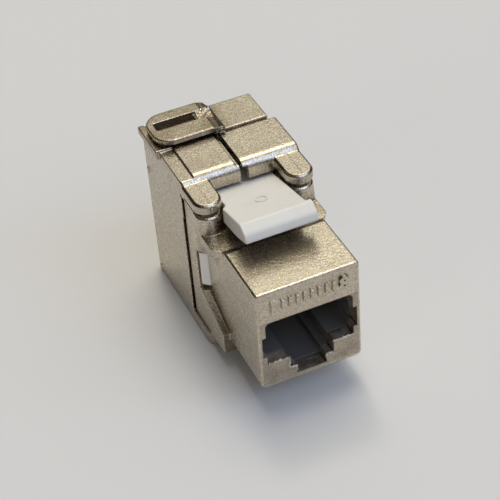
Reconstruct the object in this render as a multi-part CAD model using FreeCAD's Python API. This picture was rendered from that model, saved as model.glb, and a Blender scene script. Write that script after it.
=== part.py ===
"""Shielded keystone jack: a die-cast front housing, two hinged rear wings and a sprung latch.

Frame, in millimetres: x to the right seen from the front, y from the front face to the rear,
z up. The origin is the centre of the plug port in the plane of the front face.
"""
import FreeCAD, Part
import math
import os

Vector = FreeCAD.Vector

# ---------------------------------------------------------------- driving sizes
# Plug port, the opening of an eight-way modular plug
PORT_W = 12.3
PORT_H = 6.9
PORT_CORNER_R = 0.6
PORT_DEPTH = 13.0
TAB_WIDE_W = 6.4           # slot for the plug's latch tab, upper step
TAB_WIDE_DROP = 1.85
TAB_NARROW_W = 4.3         # slot for the plug's latch tab, lower step
TAB_NARROW_DROP = 1.43
SPRING_SLOT_DEEP = 0.6     # side slots for the shield springs
SPRING_SLOT_H = 3.3
SPRING_SLOT_DROP = 0.5     # how far the slots' middle lies below the port's

# Nose of the front housing
NOSE_SIDE_T = 0.5          # metal beside the side slots: the nose is 14.5 wide
NOSE_H = 16.14
NOSE_LEN = 10.4
NOSE_EDGE_R = 0.7          # lower edges, along y
NOSE_TOP_R = 0.35          # upper edges, along y
NOSE_FRONT_R = 0.2
FRONT_WALL = 1.9
SILL_T = 0.82              # metal left under the lower tab slot
ROOF_T = 0.95

# Body of the front housing, behind the nose
BODY_DROP = 1.75           # the body hangs below the nose and hooks behind the panel
TOP_STEP = 0.39            # the body's top lies this much below the nose's
TOP_RAMP = 1.0
FLANGE_PROUD = 1.05        # the flanges stand out from the nose's sides
FLANGE_RISE = 2.55         # the flanges' rear end stands above the body's top
FLANGE_FACET = 1.3         # height of the small facet under the flanges' front corner
FLANGE_SHOULDER = 0.55     # length of the body's top ahead of the flanges' corner
WINDOW_L = 1.2             # side windows, along y
WINDOW_H = 6.5
WINDOW_RISE = 0.5          # how far the windows' middle lies above the port's
WINDOW_SPARE = 0.6         # the windows run on behind the nibs that snap into them
RAMP_DROP = 3.4            # fall of the ramp below each window
HINGE_INSET = 1.7          # hinge axis, in from the flange's outer face
HINGE_BACK = 0.2           # hinge axis, behind the window's front edge
KNUCKLE_R = 4.45           # the flanges' rear faces are round about the hinge axes
POST_R = 1.9
POST_FLARE = 0.2           # the posts are wider at their foot
POST_H = 2.75
POST_RIM_R = 0.25

# Hinge fits
EAR_GAP = 0.65             # between an upper ear and the post under it
LOWER_EAR_GAP = 0.12
STUB_R = 0.9
STUB_GRIP = 1.05           # length of each stub inside its socket
HINGE_CLEARANCE = 0.06
SOCKET_SPARE = 0.25
KNUCKLE_GAP = 0.6          # slit between a flange and its wing
SLIT_THIN_L = 3.8          # upper part of the slit, which is narrower
SLIT_THIN_GAP = 0.3
SLIT_NICK = 0.5            # nick at the slit's upper end

# Wings
WING_PROUD = 0.27          # the wings' side walls, out from the flanges
WING_FRONT_BACK = 3.3      # the wings' front lips, behind the hinge axes
WING_LEN = 14.9
WING_WALL = 1.15
WING_LIP = 1.1
LIP_H = 2.74
WING_FRONT_R = 1.5
WING_REAR_R = 0.6
WING_SIDE_R = 0.35
EAR_R = 1.95
EAR_T = 1.45
EAR_DROP = 0.74            # the upper ears' tops lie below the wings' tops
EAR_EDGE_R = 0.3
EAR_CREASE_W = 0.14        # parting crease over each upper ear, along the hinge's plane
EAR_CREASE_DEEP = 0.1
LOWER_EAR_T = 2.2
SEAM_GAP = 0.16            # from the mid-plane to each wing's edge
TONGUE_W = 0.5             # lowered strip along the left wing's edge
TONGUE_DROP = 0.4
LIP_NOTCH_W = 0.75         # the right wing's front lip stops short of the seam
CABLE_R = 4.0
PRESS_RIB_T = 1.2
PRESS_RIB_H = 4.0
STRIP_W = 1.95             # lowered strip along the left wing's outer edge
STRIP_DROP = 0.3
GROOVE_W = 0.18
GROOVE_DEEP = 0.25
REAR_PART_LEN = 6.8        # rear part of the wings' tops, under and beside the loop
LEDGE_PROUD = 0.5          # ledge of the left wing under the loop's end
LEDGE_H = 1.1
LEDGE_TOP_R = 0.15
LEDGE_FOOT_R = 0.2
NUB_PROUD = 0.25           # two nubs on the left wing's side, near its rear edge
NUB_L = 1.0
NUB_SET_IN = 1.0           # from the wing's rear face
NUB_LEVELS = (6.9, -10.9)
REAR_RISE = 0.36           # the right wing's rear part stands above its front part
REAR_INSET = 1.07          # and is narrower
STEP_GROOVE_W = 0.3        # groove at the foot of the rear part's front face
STEP_GROOVE_DEEP = 0.4

# Hasp loop, cast on the right wing and lying over the left one
LOOP_T = 0.8
LOOP_L = 7.9               # straight reach over the left wing, from the bend
LOOP_BEND_X = -0.6         # the bars start to bend down here
LOOP_BEND_R = 0.7
LOOP_BEND_DROP = 0.35      # fall of the bars' top before they turn down
LOOP_BEND_RUN = 0.5
LOOP_ROOT = 1.1
LOOP_ROOT_SINK = 0.2
LOOP_FRONT_BAR = 3.1
LOOP_SLOT = 1.85
LOOP_REAR_BAR = 2.05
LOOP_END_R = 2.6
LOOP_EDGE_R = 0.2
LOOP_SLOT_END = 1.0        # metal left at the slot's outer end
CATCH_H = 0.2              # catch rib on the left wing, standing under the slot
CATCH_W = 1.1
CATCH_R = 0.15
WEB_T = 0.28               # thin web that closes the slot near the loop's root
WEB_L = 1.7

# Latch
LATCH_W = 8.9
LATCH_TIP_W = 10.3
LATCH_TIP_L = 2.7          # length of the wide tip
LATCH_CREST = 10.9         # pivot to crest, forward
LATCH_CREST_RISE = 3.75
LATCH_NOSE = 2.0           # crest to the tip's lower edge, forward
LATCH_NOSE_DROP = 1.95
LATCH_ROOT_R = 1.05
LATCH_ROOT_RISE = 1.3      # pivot above the body's top
LATCH_BACK = 3.4           # pivot behind the hinge axes
LATCH_TOP_SLOPE = 0.24
LATCH_CHIN = 1.45          # the tip's front bulges here, forward of the crest
LATCH_CHIN_DROP = 0.8
LATCH_BELLY_BACK = 3.2     # lowest part of the tip's underside, back from its edge
LATCH_BELLY_DROP = 1.05
LATCH_POST_GAP = 0.25      # between the wide left side and the hinge post
LATCH_POCKET_FROM = 2.55   # the hollow under the plate starts this far ahead of the pivot
LATCH_PLATE_T = 1.1
LATCH_WALL = 0.9
LATCH_PIN_R = 0.6
LATCH_PIN_LEN = 0.9
LATCH_SIDE_GAP = 0.15

# Inside
FIT_GAP = 0.05
INSERT_BACK = 1.7          # wall behind the port
INSERT_FLOOR_T = 0.4       # lining under the lower tab slot
CONTACT_COUNT = 8
CONTACT_PITCH = 1.02
CONTACT_T = 0.3
CONTACT_W = 0.45
CONTACT_TIP_Z = 1.35       # lowest point of the contacts, above the port's middle
CONTACT_RUN_Z = 4.9        # level of the contacts' straight runs
CONTACT_FRONT = 3.2
BOARD_T = 1.2
BOARD_PIN_GAP = 0.08
IDC_ROW_COUNT = 4
IDC_PITCH = 3.2
IDC_ROW_EDGE = 1.35        # from the housing's cavity top to the middle of the upper row
IDC_T = 0.4
IDC_H = 2.4
IDC_SLIT = 0.35
IDC_REACH = 2.6            # blades beyond the block's rear face
IDC_TAIL_DRAW = 0.62       # the tails lie nearer the board's middle than the blades
NIB_RISE = 0.95            # foot of each nib, above its window's lower edge
NIB_SET_IN = 0.2           # the nibs' tips, in from the flanges' outer faces
NIB_RELIEF = 1.2           # depth of the relief under each nib
IDC_BLOCK_L = 8.3
MANAGER_L = 6.6
MANAGER_H = 17.4
MANAGER_SIDE_GAP = 0.25     # to the narrower rear part of the right wing
MANAGER_BORE_R = 3.2
WIRE_W = 1.15
BLOCK_EDGE_R = 0.4
SPRING_T = 0.15
SPRING_LEN = 7.5
SPRING_BOW = 0.3

# ---------------------------------------------------------------- derived places
cavity_half = PORT_W / 2 + SPRING_SLOT_DEEP
nose_half = cavity_half + NOSE_SIDE_T
flange_half = nose_half + FLANGE_PROUD
wing_half = flange_half + WING_PROUD
port_top = PORT_H / 2
port_floor = -PORT_H / 2
wide_floor = port_floor - TAB_WIDE_DROP
cavity_floor = wide_floor - TAB_NARROW_DROP
nose_bottom = cavity_floor - SILL_T
nose_top = nose_bottom + NOSE_H
cavity_top = nose_top - ROOF_T
body_bottom = nose_bottom - BODY_DROP
body_top = nose_top - TOP_STEP
flange_top = body_top + FLANGE_RISE
post_top = body_top + POST_H

insert_front = FRONT_WALL + FIT_GAP
insert_back = PORT_DEPTH + INSERT_BACK
board_front = insert_back + FIT_GAP
board_back = board_front + BOARD_T
block_front = board_back + FIT_GAP
block_back = block_front + IDC_BLOCK_L
manager_front = block_back + FIT_GAP
manager_back = manager_front + MANAGER_L

window_front = block_front - FIT_GAP
window_back = window_front + WINDOW_L
window_low = WINDOW_RISE - WINDOW_H / 2
window_high = WINDOW_RISE + WINDOW_H / 2
hinge_x = flange_half - HINGE_INSET
hinge_y = window_front + HINGE_BACK
body_back = hinge_y + math.sqrt(KNUCKLE_R ** 2 - HINGE_INSET ** 2)

upper_ear_low = post_top + EAR_GAP
upper_ear_top = upper_ear_low + EAR_T
wing_top = upper_ear_top + EAR_DROP
lower_ear_top = body_bottom - LOWER_EAR_GAP
wing_bottom = lower_ear_top - LOWER_EAR_T
wing_middle = (wing_top + wing_bottom) / 2
wing_front = hinge_y + WING_FRONT_BACK
wing_back = wing_front + WING_LEN
lip_low = wing_top - LIP_H
rear_part_front = wing_back - REAR_PART_LEN
loop_low = wing_top + REAR_RISE
loop_top = loop_low + LOOP_T

latch_y = hinge_y + LATCH_BACK
latch_z = body_top + LATCH_ROOT_RISE
post_inner = LATCH_W / 2 + LATCH_SIDE_GAP

BEYOND = 30.0              # longer than any piece, for cuts that run out of it
BITE = 0.3                 # how far joined solids run into each other


# ---------------------------------------------------------------- helpers
def box(x0, x1, y0, y1, z0, z1):
    return Part.makeBox(x1 - x0, y1 - y0, z1 - z0, Vector(x0, y0, z0))


def cylinder(start, axis, radius, length):
    return Part.makeCylinder(radius, length, start, axis)


def in_plane(plane, level, u, v):
    """A point given by two coordinates in the plane xy, xz or yz at a level."""
    if plane == "xy":
        return Vector(u, v, level)
    if plane == "xz":
        return Vector(u, level, v)
    return Vector(level, u, v)


def outline(points, plane, level):
    """Closed wire through points (u, v) or (u, v, corner radius)."""
    corners = [in_plane(plane, level, p[0], p[1]) for p in points]
    radii = [p[2] if len(p) > 2 else 0.0 for p in points]
    count = len(points)
    edges = []
    ends = []
    for i in range(count):
        here = corners[i]
        back = corners[i - 1] - here
        ahead = corners[(i + 1) % count] - here
        if radii[i] <= 0:
            ends.append((here, None, here))
            continue
        room = 0.49 * min(back.Length, ahead.Length)
        back.normalize()
        ahead.normalize()
        half_turn = math.acos(max(-1.0, min(1.0, back.dot(ahead)))) / 2
        radius = min(radii[i], room * math.tan(half_turn))
        reach = radius / math.tan(half_turn)
        inward = back + ahead
        inward.normalize()
        middle = here + inward * (radius / math.sin(half_turn) - radius)
        ends.append((here + back * reach, middle, here + ahead * reach))
    for i in range(count):
        start, middle, stop = ends[i]
        if middle is not None:
            edges.append(Part.Arc(start, middle, stop).toShape())
        following = ends[(i + 1) % count][0]
        if stop.distanceToPoint(following) > 1e-6:
            edges.append(Part.LineSegment(stop, following).toShape())
    return Part.Wire(edges)


def prism(points, plane, low, high):
    """Solid with a constant outline between two levels across its plane."""
    face = Part.Face(outline(points, plane, low))
    return face.extrude(in_plane(plane, high, 0, 0) - in_plane(plane, low, 0, 0))


def ruled(sections, plane):
    """Solid with straight sides through outlines given as (level, points)."""
    wires = [outline(points, plane, level) for level, points in sections]
    return Part.makeLoft(wires, True, True)


def rectangle(u0, u1, v0, v1, radius=0.0):
    return [(u0, v0, radius), (u1, v0, radius), (u1, v1, radius), (u0, v1, radius)]


def joined(shapes):
    whole = shapes[0]
    if len(shapes) > 1:
        whole = shapes[0].fuse(shapes[1:])
    return whole.removeSplitter()


def mirrored(shape):
    return shape.mirror(Vector(0, 0, 0), Vector(1, 0, 0))


def both_sides(shape):
    return [shape, mirrored(shape)]


def edges_where(shape, test):
    """Edges whose both ends and middle pass the test."""
    found = []
    for edge in shape.Edges:
        middle = edge.valueAt((edge.FirstParameter + edge.LastParameter) / 2)
        points = [vertex.Point for vertex in edge.Vertexes] + [middle]
        if all(test(point) for point in points):
            found.append(edge)
    return found


def rounded_at(shape, radius, test):
    return shape.makeFillet(radius, edges_where(shape, test))


def near(value, target):
    return abs(value - target) < 1e-4


# ---------------------------------------------------------------- front housing
def port_outline():
    """The plug port seen from the front, with its tab slots and side slots."""
    half = PORT_W / 2
    side = cavity_half
    slot_low = -SPRING_SLOT_DROP - SPRING_SLOT_H / 2
    slot_high = -SPRING_SLOT_DROP + SPRING_SLOT_H / 2
    wide = TAB_WIDE_W / 2
    narrow = TAB_NARROW_W / 2
    right = [(narrow, cavity_floor), (narrow, wide_floor), (wide, wide_floor), (wide, port_floor),
             (half, port_floor), (half, slot_low), (side, slot_low), (side, slot_high),
             (half, slot_high), (half, port_top, PORT_CORNER_R)]
    left = [(-p[0],) + tuple(p[1:]) for p in reversed(right)]
    return right + left


def nose_block():
    low = [(-nose_half, nose_bottom, NOSE_EDGE_R), (nose_half, nose_bottom, NOSE_EDGE_R)]
    block = prism(low + [(nose_half, nose_top, NOSE_TOP_R), (-nose_half, nose_top, NOSE_TOP_R)],
                  "xz", 0, NOSE_LEN + TOP_RAMP)
    block = rounded_at(block, NOSE_FRONT_R, lambda p: near(p.y, 0))
    low = [(-nose_half, body_bottom, NOSE_EDGE_R), (nose_half, body_bottom, NOSE_EDGE_R)]
    body = prism(low + [(nose_half, body_top, NOSE_TOP_R), (-nose_half, body_top, NOSE_TOP_R)],
                 "xz", NOSE_LEN, body_back)
    ramp = prism([(NOSE_LEN - TOP_RAMP, nose_top), (NOSE_LEN, body_top),
                  (NOSE_LEN + 2 * TOP_RAMP, body_top), (NOSE_LEN + 2 * TOP_RAMP, nose_top + 1),
                  (NOSE_LEN - TOP_RAMP, nose_top + 1)],
                 "yz", -BEYOND, BEYOND)
    return joined([block.cut(ramp), body])


def flange_left():
    """Left flange: a smooth shoulder over the window, a ramp under it, a round rear face."""
    inner = -cavity_half - FIT_GAP
    nose = -nose_half
    outer = -flange_half
    corner_y = NOSE_LEN + FLANGE_SHOULDER
    step = FLANGE_PROUD / 4
    shoulder = ruled([
        (body_top, [(inner, NOSE_LEN), (nose, NOSE_LEN), (outer + step, corner_y),
                    (outer, corner_y + 2 * step), (outer, window_back + BITE),
                    (inner, window_back + BITE)]),
        (body_top - FLANGE_FACET, [(inner, corner_y - step), (nose, corner_y - step),
                                   (outer + 1.6 * step, corner_y + step),
                                   (outer + 0.2 * step, corner_y + 6 * step),
                                   (outer, window_back + BITE), (inner, window_back + BITE)]),
        (window_high, [(inner, window_front), (nose, window_front),
                       (nose - 0.1, window_front + 0.1), (nose - 0.2, window_front + 0.2),
                       (outer, window_back + BITE), (inner, window_back + BITE)])],
        "xy")
    ramp_end = NOSE_LEN - 0.15
    ramp_low = window_low - RAMP_DROP
    ramp = ruled([
        (outer, [(window_back - BITE, window_low), (window_back + BITE, window_low),
                 (window_back + BITE, body_bottom), (ramp_end, body_bottom),
                 (ramp_end, ramp_low + 0.4)]),
        (inner, [(window_front, window_low), (window_back + BITE, window_low),
                 (window_back + BITE, body_bottom), (ramp_end + 0.1, body_bottom),
                 (ramp_end + 0.1, ramp_low)])],
        "yz")
    wall = box(outer, inner, window_back, body_back + 1, body_bottom, flange_top)
    knuckle = cylinder(Vector(-hinge_x, hinge_y, body_bottom), Vector(0, 0, 1), KNUCKLE_R,
                       flange_top - body_bottom)
    return [shoulder, ramp, wall.common(knuckle)]


def post_left():
    """Left upper hinge post with the cheek behind it that carries the latch's pin."""
    foot = POST_R + POST_FLARE
    cone = Part.makeCone(foot, POST_R, POST_H, Vector(-hinge_x, hinge_y, body_top))
    rim = edges_where(cone, lambda p: near(p.z, post_top))
    cone = cone.makeChamfer(POST_RIM_R, rim)
    root = cylinder(Vector(-hinge_x, hinge_y, cavity_top), Vector(0, 0, 1), foot,
                    body_top - cavity_top)
    keep = box(-flange_half - 0.15, 0, 0, BEYOND, cavity_top, post_top + 1)
    cheek = box(-flange_half, -post_inner, hinge_y, body_back, cavity_top, flange_top)
    knuckle = cylinder(Vector(-hinge_x, hinge_y, cavity_top), Vector(0, 0, 1), KNUCKLE_R,
                       flange_top - cavity_top)
    return [cone.fuse(root).common(keep), cheek.common(knuckle)]


def front_housing():
    solids = [nose_block()]
    for piece in flange_left() + post_left():
        solids += both_sides(piece)
    housing = joined(solids)
    cuts = [box(-cavity_half, cavity_half, FRONT_WALL, body_back + 1, cavity_floor, cavity_top),
            prism(port_outline(), "xz", -1, FRONT_WALL + 1)]
    window = box(-flange_half - 1, -cavity_half + 1, window_front, window_back + WINDOW_SPARE,
                 window_low, window_high)
    socket_r = STUB_R + HINGE_CLEARANCE
    socket_depth = STUB_GRIP + SOCKET_SPARE
    upper_socket = cylinder(Vector(-hinge_x, hinge_y, post_top - socket_depth), Vector(0, 0, 1),
                            socket_r, socket_depth + 1)
    lower_socket = cylinder(Vector(-hinge_x, hinge_y, body_bottom - 1), Vector(0, 0, 1),
                            socket_r, socket_depth + 1)
    pin_hole = cylinder(Vector(-post_inner - LATCH_PIN_LEN - FIT_GAP, latch_y, latch_z),
                        Vector(1, 0, 0), LATCH_PIN_R + HINGE_CLEARANCE, LATCH_PIN_LEN + 1)
    for cut in (window, upper_socket, lower_socket, pin_hole):
        cuts += both_sides(cut)
    return housing.cut(cuts)


# ---------------------------------------------------------------- wings
def hinge_ear(low, high):
    """Left ear: a rounded tongue about the hinge axis that runs back into the wing."""
    inner = -hinge_x + EAR_R
    ear = prism([(-wing_half, wing_front + BITE), (inner, wing_front + BITE),
                 (inner, hinge_y - EAR_R, EAR_R), (-wing_half, hinge_y - EAR_R, EAR_R)],
                "xy", low, high)
    return ear


def wing_hollow(side_wall):
    """What is cut out of a left wing: its inside, its open front and the knuckle's sweep."""
    inner_x = -wing_half + side_wall
    hollow = box(inner_x, 1, wing_front + WING_LIP, wing_back - WING_WALL,
                 wing_bottom + WING_WALL, wing_top - WING_WALL)
    mouth = box(inner_x, 1, wing_front - 1, wing_front + WING_LIP + 1, lower_ear_top, lip_low)
    knuckle = cylinder(Vector(-hinge_x, hinge_y, lower_ear_top), Vector(0, 0, 1),
                       KNUCKLE_R + KNUCKLE_GAP, lip_low - SLIT_THIN_L - lower_ear_top)
    thin_r = KNUCKLE_R + SLIT_THIN_GAP
    thin = cylinder(Vector(-hinge_x, hinge_y, lower_ear_top), Vector(0, 0, 1), thin_r,
                    lip_low - lower_ear_top)
    slit_y = hinge_y + math.sqrt(thin_r ** 2 - (wing_half - hinge_x) ** 2)
    nick = prism([(slit_y, lip_low - SLIT_NICK), (slit_y + SLIT_NICK, lip_low + SLIT_NICK / 2),
                  (slit_y - SLIT_NICK / 2, lip_low + SLIT_NICK / 2)],
                 "yz", -wing_half - 1, -wing_half + SLIT_NICK)
    cable = cylinder(Vector(0, wing_back - WING_WALL - 1, wing_middle), Vector(0, 1, 0),
                     CABLE_R, WING_WALL + 2)
    return [hollow, mouth, knuckle, thin, nick, cable]


def hinge_stubs():
    upper_len = EAR_GAP + STUB_GRIP
    lower_len = LOWER_EAR_GAP + STUB_GRIP
    upper = cylinder(Vector(-hinge_x, hinge_y, upper_ear_low - upper_len), Vector(0, 0, 1),
                     STUB_R, upper_len + BITE)
    lower = cylinder(Vector(-hinge_x, hinge_y, lower_ear_top - BITE), Vector(0, 0, 1),
                     STUB_R, lower_len + BITE)
    return [upper, lower]


def press_ribs():
    """Ribs on the rear wall that push the wire manager home as the wing closes."""
    ribs = []
    for level in (-1, 1):
        middle = wing_middle + level * (CABLE_R + PRESS_RIB_H / 2)
        ribs.append(box(-wing_half + WING_WALL - BITE, -CABLE_R, manager_back + FIT_GAP,
                        wing_back - WING_WALL + BITE,
                        middle - PRESS_RIB_T / 2, middle + PRESS_RIB_T / 2))
    return ribs


def wing_shell(edge_x):
    """Left wing up to its edge beside the seam, with ears, stubs and ribs."""
    section = [(wing_front, wing_bottom, WING_FRONT_R), (wing_back, wing_bottom, WING_REAR_R),
               (wing_back, wing_top, WING_REAR_R), (wing_front, wing_top, WING_FRONT_R)]
    shell = prism(section, "yz", -wing_half, edge_x)
    shell = rounded_at(shell, WING_SIDE_R, lambda p: near(p.x, -wing_half))
    shell = shell.cut(wing_hollow(WING_WALL))
    upper = hinge_ear(upper_ear_low, upper_ear_top)
    upper_rim = edges_where(upper, lambda p: near(p.z, upper_ear_top) and p.y < wing_front)
    upper = upper.makeChamfer(EAR_EDGE_R, upper_rim)
    crease_low = upper_ear_top - EAR_CREASE_DEEP
    crease = box(-hinge_x - EAR_CREASE_W, -hinge_x, hinge_y - EAR_R - 1,
                 hinge_y - EAR_R + EAR_CREASE_DEEP, upper_ear_low - 1, upper_ear_top + 1)
    ridge = box(-hinge_x - EAR_CREASE_W, -hinge_x, hinge_y - EAR_R - 1, wing_front,
                crease_low, upper_ear_top + 1)
    upper = upper.cut([crease, ridge])
    lower = hinge_ear(wing_bottom, lower_ear_top)
    lower_rim = edges_where(lower, lambda p: near(p.z, wing_bottom) and p.y < wing_front)
    lower = lower.makeChamfer(EAR_EDGE_R, lower_rim)
    return joined([shell, upper, lower] + hinge_stubs() + press_ribs())


def left_wing():
    wing = wing_shell(-SEAM_GAP)
    strip = box(-wing_half - 1, -wing_half + STRIP_W, wing_front - 1, rear_part_front,
                wing_top - STRIP_DROP, wing_top + 1)
    groove = box(-wing_half + STRIP_W - GROOVE_W, -wing_half + STRIP_W, wing_front - 1,
                 rear_part_front, wing_top - GROOVE_DEEP - STRIP_DROP, wing_top + 1)
    tongue = box(-SEAM_GAP - TONGUE_W, 1, wing_front - 1, wing_back + 1,
                 wing_top - TONGUE_DROP, wing_top + 1)
    wing = wing.cut([strip, groove, tongue])
    ledge_low = wing_top - LEDGE_H
    ledge_x = -wing_half - LEDGE_PROUD
    ledge = prism([(-wing_half + BITE, ledge_low - LEDGE_PROUD), (-wing_half + BITE, wing_top),
                   (ledge_x, wing_top, LEDGE_TOP_R), (ledge_x, ledge_low, LEDGE_FOOT_R),
                   (-wing_half, ledge_low - LEDGE_PROUD)],
                  "xz", rear_part_front, wing_back)
    slot_back = wing_back - LOOP_REAR_BAR
    slot_front = slot_back - LOOP_SLOT
    catch_front = (slot_front + slot_back - CATCH_W) / 2
    catch_back = catch_front + CATCH_W
    catch = prism([(catch_front, wing_top - BITE), (catch_back, wing_top - BITE),
                   (catch_back, wing_top + CATCH_H, CATCH_R),
                   (catch_front, wing_top + CATCH_H, CATCH_R)],
                  "yz", -wing_half + WING_WALL, -WEB_L)
    nubs = []
    nub_y = wing_back - NUB_SET_IN
    for level in NUB_LEVELS:
        nubs.append(prism([(-wing_half + BITE, nub_y - NUB_PROUD), (-wing_half, nub_y - NUB_PROUD),
                           (-wing_half - NUB_PROUD, nub_y), (-wing_half, nub_y + NUB_PROUD),
                           (-wing_half + BITE, nub_y + NUB_PROUD)],
                          "xy", level - NUB_L / 2, level + NUB_L / 2))
    return joined([wing, ledge, catch] + nubs)


def hasp_loop():
    """Loop that lies over the left wing: its bars bend down into its root on the right."""
    front = wing_back - LOOP_REAR_BAR - LOOP_SLOT - LOOP_FRONT_BAR
    slot_back = wing_back - LOOP_REAR_BAR
    slot_front = slot_back - LOOP_SLOT
    end_x = LOOP_BEND_X - LOOP_L
    plate = prism([(end_x, front, LOOP_END_R), (LOOP_ROOT, front, LOOP_BEND_R),
                   (LOOP_ROOT, wing_back, LOOP_BEND_R), (end_x, wing_back, LOOP_END_R)],
                  "xy", loop_low - LOOP_ROOT_SINK, loop_top)
    plate = rounded_at(plate, LOOP_EDGE_R, lambda p: near(p.z, loop_top))
    bend = prism([(LOOP_BEND_X, loop_top + 1), (LOOP_BEND_X, loop_top, LOOP_BEND_RUN),
                  (LOOP_ROOT - LOOP_BEND_RUN, loop_top - LOOP_BEND_DROP, LOOP_BEND_R),
                  (LOOP_ROOT, loop_low), (LOOP_ROOT + 1, loop_low), (LOOP_ROOT + 1, loop_top + 1)],
                 "xz", front - 1, wing_back + 1)
    under = box(end_x - 1, SEAM_GAP, front - 1, wing_back + 1, loop_low - 1, loop_low)
    slot = prism(rectangle(end_x + LOOP_SLOT_END, LOOP_ROOT + 1, slot_front, slot_back, 0.3),
                 "xy", loop_low, loop_top + 1)
    web = box(-WEB_L, LOOP_ROOT - 0.2, slot_front - BITE, slot_back + BITE,
              loop_low, loop_low + WEB_T)
    root = box(SEAM_GAP, LOOP_ROOT, front, wing_back - WING_REAR_R, wing_top - BITE,
               loop_low + BITE / 2)
    return [plate.cut([bend, under, slot]).fuse(web), root]


def right_wing():
    wing = mirrored(wing_shell(-SEAM_GAP))
    step_x = wing_half - REAR_INSET
    raised = box(SEAM_GAP, step_x, rear_part_front, wing_back - WING_REAR_R,
                 wing_top - WING_WALL, wing_top + REAR_RISE)
    raised = rounded_at(raised, 0.12, lambda p: near(p.z, wing_top + REAR_RISE))
    inner_x = wing_half - WING_WALL - REAR_INSET
    side = prism([(inner_x, rear_part_front), (wing_half - WING_WALL + BITE, rear_part_front),
                  (wing_half - WING_WALL + BITE, wing_back - BITE), (inner_x, wing_back - BITE)],
                 "xy", wing_bottom + BITE, wing_top - BITE)
    relief = box(step_x, wing_half + 1, rear_part_front, wing_back + 1,
                 wing_bottom - 1, wing_top + 1)
    notch = box(0, SEAM_GAP + LIP_NOTCH_W, wing_front - 1, wing_front + WING_LIP,
                wing_bottom - 1, wing_top - EAR_DROP)
    crease_x = wing_half - STRIP_W
    crease = box(crease_x, crease_x + GROOVE_W, wing_front - 1, wing_front + WING_FRONT_R,
                 wing_top - WING_FRONT_R, wing_top + 1)
    crease = crease.cut(cylinder(Vector(crease_x - 1, wing_front + WING_FRONT_R,
                                        wing_top - WING_FRONT_R),
                                 Vector(1, 0, 0), WING_FRONT_R - GROOVE_DEEP, 3))
    groove = box(0, wing_half + 1, rear_part_front - STEP_GROOVE_W, rear_part_front,
                 wing_top - STEP_GROOVE_DEEP, wing_top + 1)
    wing = joined([wing, side]).cut([relief, notch, crease, groove])
    return joined([wing, raised] + hasp_loop())


# ---------------------------------------------------------------- latch
def latch_top(forward):
    """Height of the latch's top over its pivot, at a distance forward of it."""
    return LATCH_CREST_RISE - LATCH_TOP_SLOPE * (LATCH_CREST - forward)


def latch_section():
    tip = LATCH_CREST + LATCH_NOSE
    tip_z = LATCH_CREST_RISE - LATCH_NOSE_DROP
    local = [(-LATCH_ROOT_R, latch_top(-LATCH_ROOT_R), 1.0),
             (LATCH_CREST, LATCH_CREST_RISE, 0.35),
             (LATCH_CREST + LATCH_CHIN, LATCH_CREST_RISE - LATCH_CHIN_DROP, 1.2),
             (tip, tip_z, 0.25),
             (tip - LATCH_BELLY_BACK, tip_z - LATCH_BELLY_DROP, 6.0),
             (LATCH_ROOT_R + 1.2, -0.4, 1.0), (LATCH_ROOT_R, -LATCH_ROOT_R, 0.5),
             (-LATCH_ROOT_R, -LATCH_ROOT_R, 1.0)]
    return [(latch_y - p[0], latch_z + p[1], p[2]) for p in local]


def latch_lever():
    half = LATCH_W / 2
    arm = prism(latch_section(), "yz", -half, half)
    tip = prism(latch_section(), "yz", -LATCH_TIP_W / 2, LATCH_TIP_W / 2)
    tip_end = latch_y - LATCH_CREST - LATCH_NOSE - 1
    tip = tip.common(box(-BEYOND, BEYOND, tip_end, tip_end + 1 + LATCH_TIP_L, -BEYOND, BEYOND))
    pocket_to = LATCH_CREST + LATCH_NOSE - LATCH_TIP_L
    pocket_half = half - LATCH_WALL
    pocket = []
    for forward in (LATCH_POCKET_FROM, pocket_to):
        pocket.append((latch_y - forward, latch_z + latch_top(forward) - LATCH_PLATE_T))
    low = (pocket[1][0], latch_z - LATCH_ROOT_R - 1), (pocket[0][0], latch_z - LATCH_ROOT_R - 1)
    pocket = prism(pocket + list(low), "yz", -pocket_half, pocket_half)
    side = prism(latch_section(), "yz", -LATCH_TIP_W / 2, -half + LATCH_WALL)
    side = side.common(box(-BEYOND, BEYOND, tip_end, hinge_y - LATCH_POST_GAP, -BEYOND, BEYOND))
    post_r = POST_R + POST_FLARE + LATCH_POST_GAP
    side = side.cut(cylinder(Vector(-hinge_x, hinge_y, 0), Vector(0, 0, 1), post_r, BEYOND))
    pins = cylinder(Vector(-post_inner - LATCH_PIN_LEN, latch_y, latch_z), Vector(1, 0, 0),
                    LATCH_PIN_R, 2 * (post_inner + LATCH_PIN_LEN))
    return joined([arm, tip, side, pins]).cut(pocket)


# ---------------------------------------------------------------- inside
def contact_x(index):
    return (index - (CONTACT_COUNT - 1) / 2) * CONTACT_PITCH


def idc_places():
    spread = cavity_top - IDC_ROW_EDGE - wing_middle
    places = []
    for row in (-1, 1):
        for column in range(IDC_ROW_COUNT):
            x = (column - (IDC_ROW_COUNT - 1) / 2) * IDC_PITCH
            places.append((x, wing_middle + row * spread))
    return places


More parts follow.
